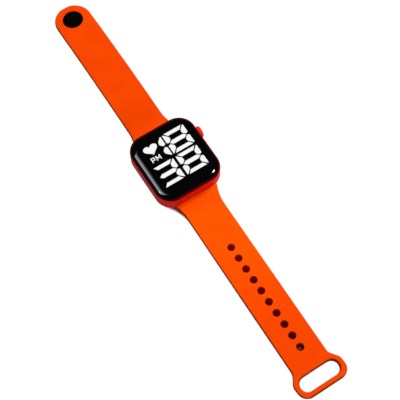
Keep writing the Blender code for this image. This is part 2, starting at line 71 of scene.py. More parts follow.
# The table, the lamps and the view. The watch lies on a seamless white sweep, under a broad lamp, a
# weak low one, a soft pool, and four small lamps that only the window mirrors. The sweep is clear
# away from the watch, so a strap turned down past it stays in sight before the white studio.
table_height = cad_box[0].z
sweep_half_width = 4.0
sweep_glow = 0.20
shade_reach = 0.009
covered_below = 0.41
open_above = 0.47
# Painted shade: the dark red that the table takes under the watch.
red_shade = (0.42, 0.030, 0.020, 1.0)
bounce_white = (0.80, 0.80, 0.80, 1.0)
studio_fill = 0.03
studio_white = 1.03

bm = bmesh.new()
bmesh.ops.create_grid(bm, x_segments=8, y_segments=8, size=sweep_half_width)
bmesh.ops.translate(bm, verts=bm.verts, vec=(0.0, 0.0, table_height))
table_mesh = bpy.data.meshes.new("table_top")
bm.to_mesh(table_mesh)
bm.free()
table = bpy.data.objects.new("table_top", table_mesh)
bpy.context.scene.collection.objects.link(table)

white_sweep = bpy.data.materials.new("white_sweep")
white_sweep.use_nodes = True
nodes = white_sweep.node_tree.nodes
links = white_sweep.node_tree.links
shader = nodes["Principled BSDF"]
shader.inputs["Roughness"].default_value = 0.9
shader.inputs["Specular IOR Level"].default_value = 0.0
shader.inputs["Emission Color"].default_value = (1.0, 1.0, 1.0, 1.0)
openness = nodes.new("ShaderNodeAmbientOcclusion")
openness.samples = 32
openness.inputs["Distance"].default_value = shade_reach
in_the_open = nodes.new("ShaderNodeMapRange")
in_the_open.inputs["From Min"].default_value = covered_below
in_the_open.inputs["From Max"].default_value = open_above
links.new(openness.outputs["AO"], in_the_open.inputs["Value"])
seen = nodes.new("ShaderNodeLightPath")
level = nodes.new("ShaderNodeMapRange")
level.inputs["To Min"].default_value = sweep_glow
level.inputs["To Max"].default_value = 0.0
links.new(seen.outputs["Is Camera Ray"], level.inputs["Value"])
links.new(level.outputs["Result"], shader.inputs["Emission Strength"])
# Painted shade: camera rays see the table dark red where the watch covers it, gloss rays see it so
# everywhere, and diffuse bounces see white.
painted_shade_or_white = nodes.new("ShaderNodeMix")
painted_shade_or_white.data_type = "RGBA"
painted_shade_or_white.inputs["A"].default_value = red_shade
painted_shade_or_white.inputs["B"].default_value = bounce_white
links.new(seen.outputs["Is Diffuse Ray"], painted_shade_or_white.inputs["Factor"])
links.new(painted_shade_or_white.outputs["Result"], shader.inputs["Base Color"])
open_and_seen = nodes.new("ShaderNodeMath")
open_and_seen.operation = "MULTIPLY"
links.new(in_the_open.outputs["Result"], open_and_seen.inputs[0])
links.new(seen.outputs["Is Camera Ray"], open_and_seen.inputs[1])
clear = nodes.new("ShaderNodeMath")
clear.operation = "MAXIMUM"
links.new(open_and_seen.outputs["Value"], clear.inputs[0])
links.new(seen.outputs["Is Shadow Ray"], clear.inputs[1])
see_through = nodes.new("ShaderNodeBsdfTransparent")
surface = nodes.new("ShaderNodeMixShader")
links.new(clear.outputs["Value"], surface.inputs["Fac"])
links.new(shader.outputs["BSDF"], surface.inputs[1])
links.new(see_through.outputs["BSDF"], surface.inputs[2])
links.new(surface.outputs["Shader"], nodes["Material Output"].inputs["Surface"])
table.data.materials.append(white_sweep)

studio = bpy.data.worlds.new("studio")
bpy.context.scene.world = studio
studio.use_nodes = True
nodes = studio.node_tree.nodes
links = studio.node_tree.links
background = nodes["Background"]
background.inputs["Color"].default_value = (1.0, 1.0, 1.0, 1.0)
seen = nodes.new("ShaderNodeLightPath")
level = nodes.new("ShaderNodeMapRange")
level.inputs["To Min"].default_value = studio_fill
level.inputs["To Max"].default_value = studio_white
links.new(seen.outputs["Is Camera Ray"], level.inputs["Value"])
links.new(level.outputs["Result"], background.inputs["Strength"])
bpy.context.scene.view_settings.view_transform = "Standard"
bpy.context.scene.view_settings.look = "None"


def toward(turn, height):
    """The direction at so many degrees round from +X, and so many degrees up."""
    turn = math.radians(turn)
    height = math.radians(height)
    flat = math.cos(height)
    return Vector((flat * math.cos(turn), flat * math.sin(turn), math.sin(height)))


def area_lamp(name, centre, direction, distance, width, length, power, along=(0.0, 1.0, 0.0)):
    """A flat lamp that looks at a point from one direction, its length laid along another."""
    light = bpy.data.lights.new(name, "AREA")
    light.shape = "RECTANGLE"
    light.size = width
    light.size_y = length
    light.energy = power
    lamp = bpy.data.objects.new(name, light)
    bpy.context.scene.collection.objects.link(lamp)
    lamp.location = Vector(centre) + direction * distance
    backward = direction.normalized()
    across = Vector(along).cross(backward).normalized()
    axes = Matrix((across, backward.cross(across), backward)).transposed()
    lamp.rotation_euler = axes.to_euler()
    lamp.visible_camera = False
    return lamp


case_foot = (0.0, 0.0, 0.0)
dial_middle = (0.0, 0.0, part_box("lens")[1].z)
side_lamp = area_lamp("side_lamp", case_foot, toward(15, 45), 1.2, 0.30, 0.30, 17.8)
front_lamp = area_lamp("front_lamp", case_foot, toward(255, 20), 0.9, 0.25, 0.25, 2.4)
side_lamp.visible_glossy = False
front_lamp.visible_glossy = False

pool_middle = Vector((0.006, -0.036, 0.0))
pool_direction = toward(-10, 46)
pool_distance = 0.5
pool = bpy.data.lights.new("pool_lamp", "SPOT")
pool.energy = 7.0
pool.spot_size = math.radians(13.0)
pool.spot_blend = 1.0
pool.shadow_soft_size = 0.02
pool_lamp = bpy.data.objects.new("pool_lamp", pool)
bpy.context.scene.collection.objects.link(pool_lamp)
pool_lamp.location = pool_middle + pool_direction * pool_distance
pool_lamp.rotation_euler = pool_direction.to_track_quat("Z", "Y").to_euler()
pool_lamp.visible_glossy = False
pool_lamp.visible_camera = False

glint_spot = (0.0127, -0.0159, dial_middle[2])
glint_along = (0.586, -0.81, 0.0)
softbox_wide = Vector((-0.130, 0.345, 0.930))
softbox_core = Vector((-0.190, 0.320, 0.928))
softbox_end = Vector((-0.236, 0.285, 0.929))
glint = Vector((0.356, 0.128, 0.926))
gloss_lamps = (
    area_lamp("softbox_wide", dial_middle, softbox_wide, 0.5, 0.200, 0.145, 0.13),
    area_lamp("softbox_core", dial_middle, softbox_core, 0.5, 0.150, 0.155, 0.42),
    area_lamp("softbox_end", dial_middle, softbox_end, 0.5, 0.060, 0.030, 0.11),
    area_lamp("glint", glint_spot, glint, 0.5, 0.03, 0.06, 0.32, glint_along),
)
for gloss_lamp in gloss_lamps:
    gloss_lamp.visible_diffuse = False
    gloss_lamp.visible_transmission = False
for gloss_lamp in gloss_lamps[:3]:
    gloss_lamp.data.color = (0.85, 0.93, 1.0)

view_turn = 32.7
view_height = 67.25
view_distance = 0.4962
view_lens = 89.86
aim = Vector((0.00095, -0.02144, 0.0003))
backward = toward(-90 - view_turn, view_height)
camera_data = bpy.data.cameras.new("studio_camera")
camera_data.lens = view_lens
camera_data.sensor_width = 36.0
camera = bpy.data.objects.new("studio_camera", camera_data)
bpy.context.scene.collection.objects.link(camera)
camera.location = aim + backward * view_distance
camera.rotation_euler = backward.to_track_quat("Z", "Y").to_euler()
bpy.context.scene.camera = camera


# The case shell. One piece of injection-moulded red plastic, polished outside, with a seat for the
# lens, a bay for the battery, a bore for the crown and a recess at each end for a strap.
case_x = 0.03610
case_y = 0.03960
case_corner = 0.00905
case_rim_z = 0.01120
lens_x = 0.0346
lens_y = 0.0380
lens_corner = 0.0083
crown_y = 0.0076
crown_z = 0.0071
crown_radius = 0.0031
hinge_y = 0.0170
hinge_z = 0.0023
recess_radius = 0.0023
recess_half_x = 0.0120
recess_end_y = 0.0220
below = -0.001


def quarter_turn(steps):
    """The angles from 0 to 90 degrees in equal steps."""
    return [math.pi / 2 * step / steps for step in range(steps + 1)]


def rounded_ring(half_x, half_y, corner, z, steps=14):
    """Points anticlockwise round a rectangle with round corners, at one height."""
    points = []
    for quarter, (sx, sy) in enumerate(((1, 1), (-1, 1), (-1, -1), (1, -1))):
        for step in range(steps + 1):
            angle = math.pi / 2 * (quarter + step / steps)
            x = sx * (half_x - corner) + corner * math.cos(angle)
            y = sy * (half_y - corner) + corner * math.sin(angle)
            points.append((x, y, z))
    return points


def skin(name, rings, place=None):
    """A closed solid over a row of rings with equal counts of points, with a cap at each end."""
    bm = bmesh.new()
    laid = [[bm.verts.new(point) for point in ring] for ring in rings]
    for one, other in zip(laid, laid[1:]):
        for index, vert in enumerate(one):
            after = (index + 1) % len(one)
            bm.faces.new((vert, one[after], other[after], other[index]))
    bm.faces.new(laid[0])
    bm.faces.new(laid[-1])
    bmesh.ops.recalc_face_normals(bm, faces=bm.faces)
    if place is not None:
        bmesh.ops.transform(bm, matrix=place, verts=bm.verts)
    mesh = bpy.data.meshes.new(name)
    bm.to_mesh(mesh)
    bm.free()
    solid = bpy.data.objects.new(name, mesh)
    bpy.context.scene.collection.objects.link(solid)
    return solid


def turned(name, profile, place=None, steps=48):
    """A solid of revolution about Z from (radius, height) points whose first and last are on it."""
    rings = []
    for radius, height in profile:
        ring = []
        for step in range(steps):
            angle = 2 * math.pi * step / steps
            ring.append((radius * math.cos(angle), radius * math.sin(angle), height))
        rings.append(ring)
    return skin(name, rings, place)


def rod(name, radius, low, high, place=None, steps=32):
    return turned(name, [(radius, low), (radius, high)], place, steps)


def finished(solid, cutters=(), sharp=32.0):
    """Applies the cuts one after another, then shades the solid smooth up to the given angle."""
    for cutter in cutters:
        cut = solid.modifiers.new(cutter.name, "BOOLEAN")
        cut.operation = "DIFFERENCE"
        cut.object = cutter
        cut.solver = "EXACT"
    graph = bpy.context.evaluated_depsgraph_get()
    made = bpy.data.meshes.new_from_object(solid.evaluated_get(graph))
    solid.modifiers.clear()
    solid.data = made
    made.name = solid.name
    for cutter in cutters:
        bpy.data.objects.remove(cutter)
    bm = bmesh.new()
    bm.from_mesh(made)
    bmesh.ops.remove_doubles(bm, verts=bm.verts, dist=1e-7)
    bmesh.ops.dissolve_degenerate(bm, edges=bm.edges, dist=1e-7)
    bm.to_mesh(made)
    bm.free()
    made.shade_smooth()
    made.set_sharp_from_angle(angle=math.radians(sharp))
    shading = solid.modifiers.new("even_shading", "WEIGHTED_NORMAL")
    shading.keep_sharp = True
    return solid


along_x = Matrix.Rotation(math.pi / 2, 4, "Y")
crown_axis = Matrix.Translation((0.0, crown_y, crown_z)) @ along_x

lower_round = 0.0040
rim_round = 0.0004
wall_rings = []
for angle in quarter_turn(12):
    wall_rings.append((lower_round * (1 - math.sin(angle)), lower_round * (1 - math.cos(angle))))
for angle in quarter_turn(5):
    height = case_rim_z - rim_round * (1 - math.sin(angle))
    wall_rings.append((rim_round * (1 - math.cos(angle)), height))
case_rings = []
for inset, height in wall_rings:
    half_x = case_x / 2 - inset
    half_y = case_y / 2 - inset
    case_rings.append(rounded_ring(half_x, half_y, case_corner - inset, height, 18))
case_shell = skin("case_shell", case_rings)


def prism(name, half_x, half_y, corner, low, high, steps=12):
    rings = [rounded_ring(half_x, half_y, corner, height, steps) for height in (low, high)]
    return skin(name, rings)


def recess(name, side):
    """The hollow that a strap's barrel turns in, swept across the case."""
    outline = [(hinge_y - recess_radius, below)]
    for angle in quarter_turn(12):
        y = hinge_y - recess_radius * math.cos(angle)
        outline.append((y, hinge_z + recess_radius * math.sin(angle)))
    outline += [(recess_end_y, hinge_z + recess_radius), (recess_end_y, below)]
    rings = [[(x, side * y, z) for y, z in outline] for x in (-recess_half_x, recess_half_x)]
    return skin(name, rings)


lens_gap = 0.00012
lens_ledge = 0.0011
seat_z = 0.0096
seat_x = lens_x / 2 + lens_gap
seat_y = lens_y / 2 + lens_gap
cavity_x = lens_x / 2 - lens_ledge
cavity_y = lens_y / 2 - lens_ledge
cavity_corner = 0.0072
cavity_floor = 0.0054
bay_half = 0.0124
bay_corner = 0.0075
bay_top = 0.0065
opening_half = 0.01315
opening_top = 0.0012
cover_corner = 0.0030
above_rim = 0.0125
bore_radius = 0.0013
bore_start_x = 0.0150
counterbore_x = 0.01725
outside_x = 0.0200
crown_gap = 0.00025
bar_radius = 0.0006
bar_half_length = 0.0134
screw_offset = 0.0113
screw_radius = 0.00075
screw_bore_low = 0.0008
screw_bore_high = 0.0044
case_cuts = [
    prism("seat", seat_x, seat_y, lens_corner + lens_gap, seat_z, above_rim, 18),
    prism("cavity", cavity_x, cavity_y, cavity_corner, cavity_floor, case_rim_z),
    prism("bay", bay_half, bay_half, bay_corner, below, bay_top),
    prism("cover_opening", opening_half, opening_half, cover_corner, below, opening_top),
    rod("bore", bore_radius, bore_start_x, outside_x, crown_axis),
    rod("counterbore", crown_radius + crown_gap, counterbore_x, outside_x, crown_axis, 48),
    recess("upper_recess", 1),
    recess("lower_recess", -1),
]
for side in (1, -1):
    hinge_axis = Matrix.Translation((0.0, side * hinge_y, hinge_z)) @ along_x
    case_cuts.append(rod("bar_bore", bar_radius, -bar_half_length, bar_half_length, hinge_axis, 16))
screw_places = [
    Matrix.Translation((x, y, 0.0))
    for x in (-screw_offset, screw_offset)
    for y in (-screw_offset, screw_offset)
]
for place in screw_places:
    case_cuts.append(rod("screw_bore", screw_radius, screw_bore_low, screw_bore_high, place, 16))
finished(case_shell, case_cuts)


def node_group(name, inputs, outputs):
    """An empty shader node group with its sockets, and the nodes at its two ends."""
    group = bpy.data.node_groups.new(name, "ShaderNodeTree")
    for label, kind, value in inputs:
        socket = group.interface.new_socket(label, in_out="INPUT", socket_type=kind)
        socket.default_value = value
    for label, kind in outputs:
        group.interface.new_socket(label, in_out="OUTPUT", socket_type=kind)
    return group, group.nodes.new("NodeGroupInput"), group.nodes.new("NodeGroupOutput")


# Mottle: a slow wander between two tones of one colour, as moulded plastic and rubber have.
mottle, start, end = node_group(
    "mottle",
    [
        ("Colour", "NodeSocketColor", (0.5, 0.5, 0.5, 1.0)),
        ("Second Colour", "NodeSocketColor", (0.5, 0.5, 0.5, 1.0)),
        ("Scale", "NodeSocketFloat", 60.0),
    ],
    [("Colour", "NodeSocketColor")],
)
place = mottle.nodes.new("ShaderNodeTexCoord")
cloud = mottle.nodes.new("ShaderNodeTexNoise")
cloud.inputs["Detail"].default_value = 4.0
cloud.inputs["Roughness"].default_value = 0.55
blend = mottle.nodes.new("ShaderNodeMix")
blend.data_type = "RGBA"
spread = mottle.nodes.new("ShaderNodeMapRange")
spread.inputs["From Min"].default_value = 0.3
spread.inputs["From Max"].default_value = 0.7
mottle.links.new(place.outputs["Object"], cloud.inputs["Vector"])
mottle.links.new(start.outputs["Scale"], cloud.inputs["Scale"])
mottle.links.new(cloud.outputs["Fac"], spread.inputs["Value"])
mottle.links.new(spread.outputs["Result"], blend.inputs["Factor"])
mottle.links.new(start.outputs["Colour"], blend.inputs["A"])
mottle.links.new(start.outputs["Second Colour"], blend.inputs["B"])
mottle.links.new(blend.outputs["Result"], end.inputs["Colour"])

# Skin grain: the fine relief of a moulded surface, as a height and as a roughness that varies.
skin_grain, start, end = node_group(
    "skin_grain",
    [
        ("Scale", "NodeSocketFloat", 2500.0),
        ("Roughness Low", "NodeSocketFloat", 0.2),
        ("Roughness High", "NodeSocketFloat", 0.3),
    ],
    [("Height", "NodeSocketFloat"), ("Roughness", "NodeSocketFloat")],
)
place = skin_grain.nodes.new("ShaderNodeTexCoord")
fine = skin_grain.nodes.new("ShaderNodeTexNoise")
fine.inputs["Detail"].default_value = 3.0
patch = skin_grain.nodes.new("ShaderNodeTexNoise")
patch.inputs["Scale"].default_value = 180.0
patch.inputs["Detail"].default_value = 3.0
level = skin_grain.nodes.new("ShaderNodeMapRange")
level.inputs["From Min"].default_value = 0.3
level.inputs["From Max"].default_value = 0.7
skin_grain.links.new(place.outputs["Object"], fine.inputs["Vector"])
skin_grain.links.new(place.outputs["Object"], patch.inputs["Vector"])
skin_grain.links.new(start.outputs["Scale"], fine.inputs["Scale"])
skin_grain.links.new(patch.outputs["Fac"], level.inputs["Value"])
skin_grain.links.new(start.outputs["Roughness Low"], level.inputs["To Min"])
skin_grain.links.new(start.outputs["Roughness High"], level.inputs["To Max"])
skin_grain.links.new(fine.outputs["Fac"], end.inputs["Height"])
skin_grain.links.new(level.outputs["Result"], end.inputs["Roughness"])


def moulded(name, colour, second, rough, grain_scale, grain_depth, mottle_scale=60.0):
    """A Principled material for a moulded piece: two near tones, a fine grain, a varied gloss."""
    made = bpy.data.materials.new(name)
    made.use_nodes = True
    tree = made.node_tree
    shader = tree.nodes["Principled BSDF"]
    tone = tree.nodes.new("ShaderNodeGroup")
    tone.node_tree = mottle
    tone.inputs["Colour"].default_value = (*colour, 1.0)
    tone.inputs["Second Colour"].default_value = (*second, 1.0)
    tone.inputs["Scale"].default_value = mottle_scale
    grain = tree.nodes.new("ShaderNodeGroup")
    grain.node_tree = skin_grain
    grain.inputs["Scale"].default_value = grain_scale
    grain.inputs["Roughness Low"].default_value = rough[0]
    grain.inputs["Roughness High"].default_value = rough[1]
    relief = tree.nodes.new("ShaderNodeBump")
    relief.inputs["Distance"].default_value = grain_depth
    relief.inputs["Strength"].default_value = 1.0
    tree.links.new(tone.outputs["Colour"], shader.inputs["Base Color"])
    tree.links.new(grain.outputs["Roughness"], shader.inputs["Roughness"])
    tree.links.new(grain.outputs["Height"], relief.inputs["Height"])
    tree.links.new(relief.outputs["Normal"], shader.inputs["Normal"])
    return made


red_plastic = moulded(
    "polished_red_plastic", (0.58, 0.006, 0.003), (0.53, 0.004, 0.002), (0.30, 0.38), 900.0, 1e-6
)
shader = red_plastic.node_tree.nodes["Principled BSDF"]
shader.inputs["Specular IOR Level"].default_value = 0.12
shader.inputs["Specular Tint"].default_value = (1.0, 0.25, 0.20, 1.0)

# The shell's red, with painted shade: the narrow flat that faces up round the window is painted a
# deeper red.
shell_red = red_plastic.copy()
shell_red.name = "shell_red_plastic"
tree = shell_red.node_tree
shader = tree.nodes["Principled BSDF"]
place = tree.nodes.new("ShaderNodeTexCoord")
parts = tree.nodes.new("ShaderNodeSeparateXYZ")
facing_up = tree.nodes.new("ShaderNodeMapRange")
facing_up.interpolation_type = "SMOOTHSTEP"
facing_up.inputs["From Min"].default_value = 0.70
facing_up.inputs["From Max"].default_value = 0.96
rim_painted_shade = tree.nodes.new("ShaderNodeMix")
rim_painted_shade.data_type = "RGBA"
rim_painted_shade.inputs["B"].default_value = (0.045, 0.001, 0.001, 1.0)
tree.links.new(place.outputs["Normal"], parts.inputs["Vector"])
tree.links.new(parts.outputs["Z"], facing_up.inputs["Value"])
tree.links.new(facing_up.outputs["Result"], rim_painted_shade.inputs["Factor"])
tree.links.new(shader.inputs["Base Color"].links[0].from_socket, rim_painted_shade.inputs["A"])
tree.links.new(rim_painted_shade.outputs["Result"], shader.inputs["Base Color"])
case_shell.data.materials.append(shell_red)
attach(case_shell, "case")
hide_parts("case_body")


# The window. Black acrylic, flat over the display and rolled down to the rim all round, stuck to
# the case's ledge with a frame of foam tape.
window_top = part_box("lens")[1].z
window_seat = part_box("lens")[0].z
window_roll = 0.0032
window_rings = [(0.0, window_seat), (0.0, case_rim_z)]
for angle in quarter_turn(18)[1:]:
    rise = (window_top - case_rim_z) * math.sin(angle)
    window_rings.append((window_roll * (1 - math.cos(angle)), case_rim_z + rise))
window_rings.append((window_roll + 0.0006, window_top))
rings = []
for inset, height in window_rings:
    half_x = lens_x / 2 - inset
    half_y = lens_y / 2 - inset
    rings.append(rounded_ring(half_x, half_y, lens_corner - inset, height, 20))
window = finished(skin("window", rings), sharp=50.0)
black_acrylic = moulded(
    "black_acrylic", (0.0003, 0.0003, 0.0004), (0.0006, 0.0006, 0.0008), (0.03, 0.05), 300.0, 1e-7
)
shader = black_acrylic.node_tree.nodes["Principled BSDF"]
shader.inputs["IOR"].default_value = 1.49

# Painted reflection: a dark red band is painted round the window's edge, outside a black middle,
# where the rolled edge would mirror the red rim.
acrylic_painted_reflection = black_acrylic.copy()
acrylic_painted_reflection.name = "acrylic_painted_reflection"
tree = acrylic_painted_reflection.node_tree
shader = tree.nodes["Principled BSDF"]


def math_node(operation, first, second=0.0):
    """One arithmetic node of the window's material, fed by sockets or by plain numbers."""
    node = tree.nodes.new("ShaderNodeMath")
    node.operation = operation
    for socket, value in zip(node.inputs, (first, second)):
        if isinstance(value, float):
            socket.default_value = value
        else:
            tree.links.new(value, socket)
    return node.outputs["Value"]


black_half_x = 0.0172
black_half_y = 0.0186
black_corner = 0.0076
place = tree.nodes.new("ShaderNodeTexCoord")
split = tree.nodes.new("ShaderNodeSeparateXYZ")
tree.links.new(place.outputs["Object"], split.inputs["Vector"])
from_middle = math_node("ABSOLUTE", split.outputs["X"])
over_x = math_node("MAXIMUM", math_node("SUBTRACT", from_middle, black_half_x - black_corner))
from_middle = math_node("ABSOLUTE", split.outputs["Y"])
over_y = math_node("MAXIMUM", math_node("SUBTRACT", from_middle, black_half_y - black_corner))
squares = (math_node("POWER", over_x, 2.0), math_node("POWER", over_y, 2.0))
reach = math_node("SQRT", math_node("ADD", *squares))
past_black = tree.nodes.new("ShaderNodeMapRange")
past_black.interpolation_type = "SMOOTHSTEP"
past_black.inputs["From Min"].default_value = black_corner - 0.0003
past_black.inputs["From Max"].default_value = black_corner + 0.0005
tree.links.new(reach, past_black.inputs["Value"])
painted_reflection = tree.nodes.new("ShaderNodeMix")
painted_reflection.data_type = "RGBA"
painted_reflection.inputs["B"].default_value = (0.080, 0.001, 0.001, 1.0)
tree.links.new(past_black.outputs["Result"], painted_reflection.inputs["Factor"])
tree.links.new(shader.inputs["Base Color"].links[0].from_socket, painted_reflection.inputs["A"])
tree.links.new(painted_reflection.outputs["Result"], shader.inputs["Base Color"])
window.data.materials.append(acrylic_painted_reflection)
lit_by_gloss = bpy.data.collections.new("lit_by_gloss")
lit_by_gloss.objects.link(window)
for gloss_lamp in gloss_lamps:
    gloss_lamp.light_linking.receiver_collection = lit_by_gloss
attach(window, "case")
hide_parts("lens")


# The lit display. Four seven-segment digits, a heart and two letters shine through the window; each
# lit area is a thin bright pane on its face, white with the faint grain of a diffuser.
def lit_pane(name, outlines, low=0.000004, thickness=0.00003):
    """One thin solid for a group of flat outlines laid on the window's face."""
    bm = bmesh.new()
    for outline in outlines:
        under = [bm.verts.new((x, y, window_top + low)) for x, y in outline]
        over = [bm.verts.new((x, y, window_top + low + thickness)) for x, y in outline]
        bm.faces.new(under)
        bm.faces.new(over)
        for index in range(len(outline)):
            bm.faces.new((under[index - 1], under[index], over[index], over[index - 1]))
    bmesh.ops.recalc_face_normals(bm, faces=bm.faces)
    mesh = bpy.data.meshes.new(name)
    bm.to_mesh(mesh)
    bm.free()
    pane = bpy.data.objects.new(name, mesh)
    bpy.context.scene.collection.objects.link(pane)
    pane.data.materials.append(lit_white)
    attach(pane, "case")
    return pane


lit_white = bpy.data.materials.new("lit_white")
lit_white.use_nodes = True
tree = lit_white.node_tree
shader = tree.nodes["Principled BSDF"]
shader.inputs["Roughness"].default_value = 0.4
shader.inputs["Base Color"].default_value = (0.02, 0.02, 0.02, 1.0)
shader.inputs["Specular IOR Level"].default_value = 0.1
shader.inputs["Emission Strength"].default_value = 0.98
tone = tree.nodes.new("ShaderNodeGroup")
tone.node_tree = mottle
tone.inputs["Colour"].default_value = (1.0, 1.0, 1.0, 1.0)
tone.inputs["Second Colour"].default_value = (0.86, 0.86, 0.87, 1.0)
tone.inputs["Scale"].default_value = 900.0
tree.links.new(tone.outputs["Colour"], shader.inputs["Emission Color"])

mm = 0.001


def digit_panes(centre, lit):
    """The lit segments of one digit: bars at top, middle and foot, and posts at each side."""
    top_bar = [(-5.0, 6.0), (5.0, 6.0), (3.4, 4.1), (-3.4, 4.1)]
    middle_bar = [(-4.7, 0.0), (-3.3, 1.1), (3.3, 1.1), (4.7, 0.0), (3.3, -1.1), (-3.3, -1.1)]
    post = [(6.1, 5.55), (5.7, 5.65), (3.55, 3.5), (3.35, 2.15)]
    post += [(3.9, 1.3), (5.0, 0.45), (6.1, 1.0)]
    shapes = {
        "top": top_bar,
        "middle": middle_bar,
        "foot": [(x, -y) for x, y in top_bar],
        "upper right": post,
        "lower right": [(x, -y) for x, y in post],
        "upper left": [(-x, y) for x, y in post],
        "lower left": [(-x, -y) for x, y in post],
    }
    return [[(centre[0] + x * mm, centre[1] + y * mm) for x, y in shapes[part]] for part in lit]


one = ("upper right", "lower right")
three = ("top", "middle", "foot", "upper right", "lower right")
eight = three + ("upper left", "lower left")
lit_pane("hour_tens", digit_panes((-0.0061, 0.0080), one))
lit_pane("hour_units", digit_panes((0.0070, 0.0080), eight))
lit_pane("minute_tens", digit_panes((-0.0070, -0.0053), three))
lit_pane("minute_units", digit_panes((0.0067, -0.0053), eight))


def heart_outline(centre, width, height, steps=40):
    """A plain heart: two round lobes that run down to a point."""
    points = []
    for step in range(steps):
        turn = 2 * math.pi * step / steps
        x = 16 * math.sin(turn) ** 3
        y = 13 * math.cos(turn) - 5 * math.cos(2 * turn)
        y = y - 2 * math.cos(3 * turn) - math.cos(4 * turn)
        points.append((centre[0] + x / 32 * width, centre[1] + (y + 2.5) / 29 * height))
    return points


lit_pane("heart", [heart_outline((-0.0076, 0.0098), 0.0076, 0.0058)])


def stroke(start, end, width):
    """A straight stroke of a letter, as a flat outline."""
    dx = end[0] - start[0]
    dy = end[1] - start[1]
    length = math.hypot(dx, dy)
    nx = -dy / length * width / 2
    ny = dx / length * width / 2
    return [
        (start[0] + nx, start[1] + ny),
        (start[0] - nx, start[1] - ny),
        (end[0] - nx, end[1] - ny),
        (end[0] + nx, end[1] + ny),
    ]


foot = 0.0033
head = 0.0060
stem = 0.00047
p_left = -0.0103
p_right = -0.0088
waist_y = foot + 0.0011
valley_y = foot + 0.0008
peak_y = head - 0.0001
letter_p = [
    stroke((p_left, foot), (p_left, head), stem),
    stroke((p_left, head - stem / 2), (p_right, head - stem / 2), stem),
    stroke((p_left, waist_y), (p_right, waist_y), stem),
    stroke((p_right, waist_y - stem / 2), (p_right, head), stem),
]
m_left = -0.0077
m_right = -0.0056
m_middle = (m_left + m_right) / 2
letter_m = [
    stroke((m_left, foot), (m_left, head), stem),
    stroke((m_right, foot), (m_right, head), stem),
    stroke((m_left, peak_y), (m_middle, valley_y), stem),
    stroke((m_middle, valley_y), (m_right, peak_y), stem),
]
lit_pane("afternoon_letters", letter_p + letter_m)


# The crown. A red plastic cap on a steel stem, turned with a rounded end and one groove. A seal on
# the stem runs in the case's bore, a clip inside keeps it in, and a coil spring pushes it out.
crown_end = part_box("crown_cap")[1].x
crown_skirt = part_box("crown_cap")[0].x
on_axis = 0.00005
crown_round = 0.0009
crown_profile = [(on_axis, crown_end)]
for step in range(4):
    radius = (crown_radius - crown_round) * (step + 1) / 4
    crown_profile.append((radius, crown_end - 0.00002 * step))
for angle in quarter_turn(8)[1:]:
    radius = crown_radius - crown_round * (1 - math.sin(angle))
    crown_profile.append((radius, crown_end - 0.00006 - crown_round * (1 - math.cos(angle))))
groove = crown_end - 0.0013
groove_radius = crown_radius - 0.00018
hollow_radius = crown_radius - 0.0008
hollow_end = 0.0191
stem_radius = 0.0008
stem_end = 0.0197
crown_profile += [
    (crown_radius, groove),
    (groove_radius, groove - 0.0001),
    (groove_radius, groove - 0.0003),
    (crown_radius, groove - 0.0004),
    (crown_radius, crown_skirt + 0.0001),
    (crown_radius - 0.0001, crown_skirt),
    (hollow_radius, crown_skirt),
    (hollow_radius, hollow_end),
    (stem_radius, hollow_end),
    (stem_radius, stem_end),
    (on_axis, stem_end),
]
crown = finished(turned("crown", crown_profile, crown_axis, 64))
crown_plastic = moulded(
    "crown_red_plastic", (0.80, 0.036, 0.008), (0.73, 0.026, 0.006), (0.30, 0.40), 1200.0, 1e-6
)
crown_plastic.node_tree.nodes["Principled BSDF"].inputs["Specular IOR Level"].default_value = 0.12
crown.data.materials.append(crown_plastic)
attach(crown, "crown")
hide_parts("crown_cap")


def coil(name, radius, wire, low, high, turns, place):
    """A coil of round wire about Z, from one height to another."""
    rings = []
    steps = round(turns * 24)
    up = Vector((0.0, 0.0, 1.0))
    for index in range(steps + 1):
        share = index / steps
        angle = 2 * math.pi * turns * share
        outward = Vector((math.cos(angle), math.sin(angle), 0.0))
        middle = outward * radius + up * (low + wire + (high - low - 2 * wire) * share)
        ring = []
        for corner in range(8):
            turn = math.pi / 4 * corner
            ring.append(middle + wire * (outward * math.cos(turn) + up * math.sin(turn)))
        rings.append(ring)
    return skin(name, rings, place)


spring_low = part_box("crown_spring")[0].x
spring_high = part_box("crown_spring")[1].x
spring_radius = 0.0016
spring_wire = 0.00013
spring_turns = 3.5
spring = coil(
    "return_spring", spring_radius, spring_wire, spring_low, spring_high, spring_turns, crown_axis
)
return_spring = finished(spring)
brushed_steel = moulded(
    "brushed_steel", (0.56, 0.57, 0.58), (0.64, 0.65, 0.66), (0.22, 0.38), 4000.0, 2e-6, 400.0
)
brushed_steel.node_tree.nodes["Principled BSDF"].inputs["Metallic"].default_value = 1.0
return_spring.data.materials.append(brushed_steel)
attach(return_spring, "case")
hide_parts("crown_spring")
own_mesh(return_spring)


# The two straps. Each is moulded in one piece of orange silicone, with a barrel at its root that
# turns on a spring bar. One ends round and carries the stud; the other has ten holes and the loop.
strap_width = 0.0200
strap_thickness = 0.0020
barrel_radius = 0.0021
flare = 0.0020
flare_length = 0.0090
root_length = 0.0140
edge_round = 0.0006
end_round = 0.0009
stud_y = 0.1028
tip_y = 0.1125
loop_end_y = 0.1319
loop_corner = 0.0053
loop_widening = 0.0035
loop_neck_y = 0.1172
neck_length = 0.0070
loop_shift = 0.0005
loop_shift_length = 0.012
pin_drop = 0.0003
hump = 0.0013


def ease(share):
    share = min(1.0, max(0.0, share))
    return share * share * (3 - 2 * share)


def root_half_width(distance):
    left = 1 - (distance - case_y / 2) / flare_length
    return strap_width / 2 + flare * min(1.0, max(0.0, left)) ** 2


def stud_half_width(distance):
    past = distance - (tip_y - strap_width / 2)
    if past > 0:
        return math.sqrt(max((strap_width / 2) ** 2 - past**2, 1e-9))
    return root_half_width(distance)


